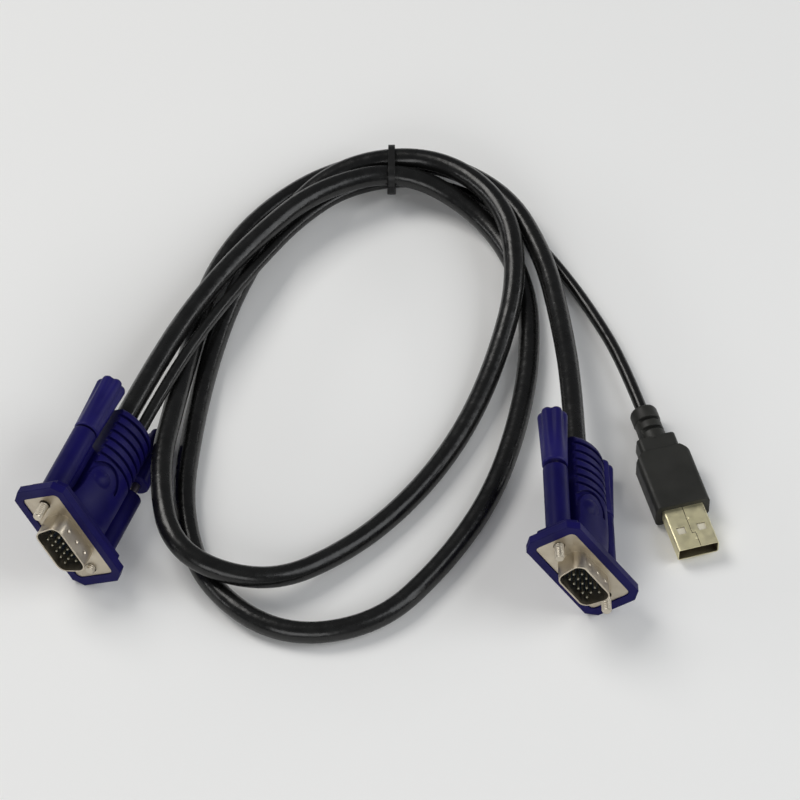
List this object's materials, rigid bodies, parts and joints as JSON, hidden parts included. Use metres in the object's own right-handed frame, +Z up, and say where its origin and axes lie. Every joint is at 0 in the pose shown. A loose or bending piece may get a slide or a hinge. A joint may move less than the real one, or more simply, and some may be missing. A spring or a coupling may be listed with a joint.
{
  "type": "kvm cable",
  "caption": "Coiled black lead for a keyboard, video and mouse switch: a blue D-shaped video plug with thumbscrews on each end and a short USB branch from one plug.",
  "frame": {"origin": "on the surface the lead lies on, under the middle of the box round the three plugs", "axes": "+Z up; -Y the way the plugs point, roughly; +X from the computer-side video plug to the USB plug"},
  "size_m": [0.1968, 0.1793, 0.0375],
  "materials": {
    "hood_blue": "satin moulded vinyl",
    "knob_blue": "satin moulded plastic",
    "screw_steel": "nickel plated",
    "plated_shell": "warm nickel plate, satin",
    "insulator_dark": "matt",
    "contact_gold": "pale gold flash",
    "inner_mould": "matt",
    "usb_plated": "nickel plate, bright",
    "tongue_ivory": "matt",
    "usb_black": "satin",
    "jacket_black": "smooth glossy vinyl",
    "tie_black": "satin"
  },
  "bodies": {
    "lead": {"pc_front_shell": "plated_shell", "pc_rear_shell": "plated_shell", "pc_insulator": "insulator_dark", "pc_pins": "contact_gold", "pc_inner_mould": "inner_mould", "pc_hood": "hood_blue", "switch_front_shell": "plated_shell", "switch_rear_shell": "plated_shell", "switch_insulator": "insulator_dark", "switch_pins": "contact_gold", "switch_inner_mould": "inner_mould", "switch_hood": "hood_blue", "usb_shell": "usb_plated", "usb_tongue": "tongue_ivory", "usb_contacts": "contact_gold", "usb_inner_mould": "inner_mould", "usb_overmould": "usb_black", "video_cable": "jacket_black", "usb_cable": "jacket_black", "cable_tie": "tie_black"},
    "pc_upper_thumbscrew": {"pc_upper_knob": "knob_blue", "pc_upper_screw": "screw_steel"},
    "pc_lower_thumbscrew": {"pc_lower_knob": "knob_blue", "pc_lower_screw": "screw_steel"},
    "switch_upper_thumbscrew": {"switch_upper_knob": "knob_blue", "switch_upper_screw": "screw_steel"},
    "switch_lower_thumbscrew": {"switch_lower_knob": "knob_blue", "switch_lower_screw": "screw_steel"}
  },
  "joints": [
    {"name": "pc_upper_thumbscrew_turn", "type": "hinge", "parent": "lead", "child": "pc_upper_thumbscrew", "pos_m": [-0.08069, 0.00882, 0.02716], "axis": [-0.3478, -0.9338, 0.0837], "continuous": true},
    {"name": "pc_lower_thumbscrew_turn", "type": "hinge", "parent": "lead", "child": "pc_lower_thumbscrew", "pos_m": [-0.06872, 0.00247, 0.00615], "axis": [-0.3478, -0.9338, 0.0837], "continuous": true},
    {"name": "switch_upper_thumbscrew_turn", "type": "hinge", "parent": "lead", "child": "switch_upper_thumbscrew", "pos_m": [0.05199, -0.00393, 0.02716], "axis": [0.0181, -0.9963, 0.0837], "continuous": true},
    {"name": "switch_lower_thumbscrew_turn", "type": "hinge", "parent": "lead", "child": "switch_lower_thumbscrew", "pos_m": [0.06546, -0.00545, 0.00615], "axis": [0.0181, -0.9963, 0.0837], "continuous": true}
  ]
}
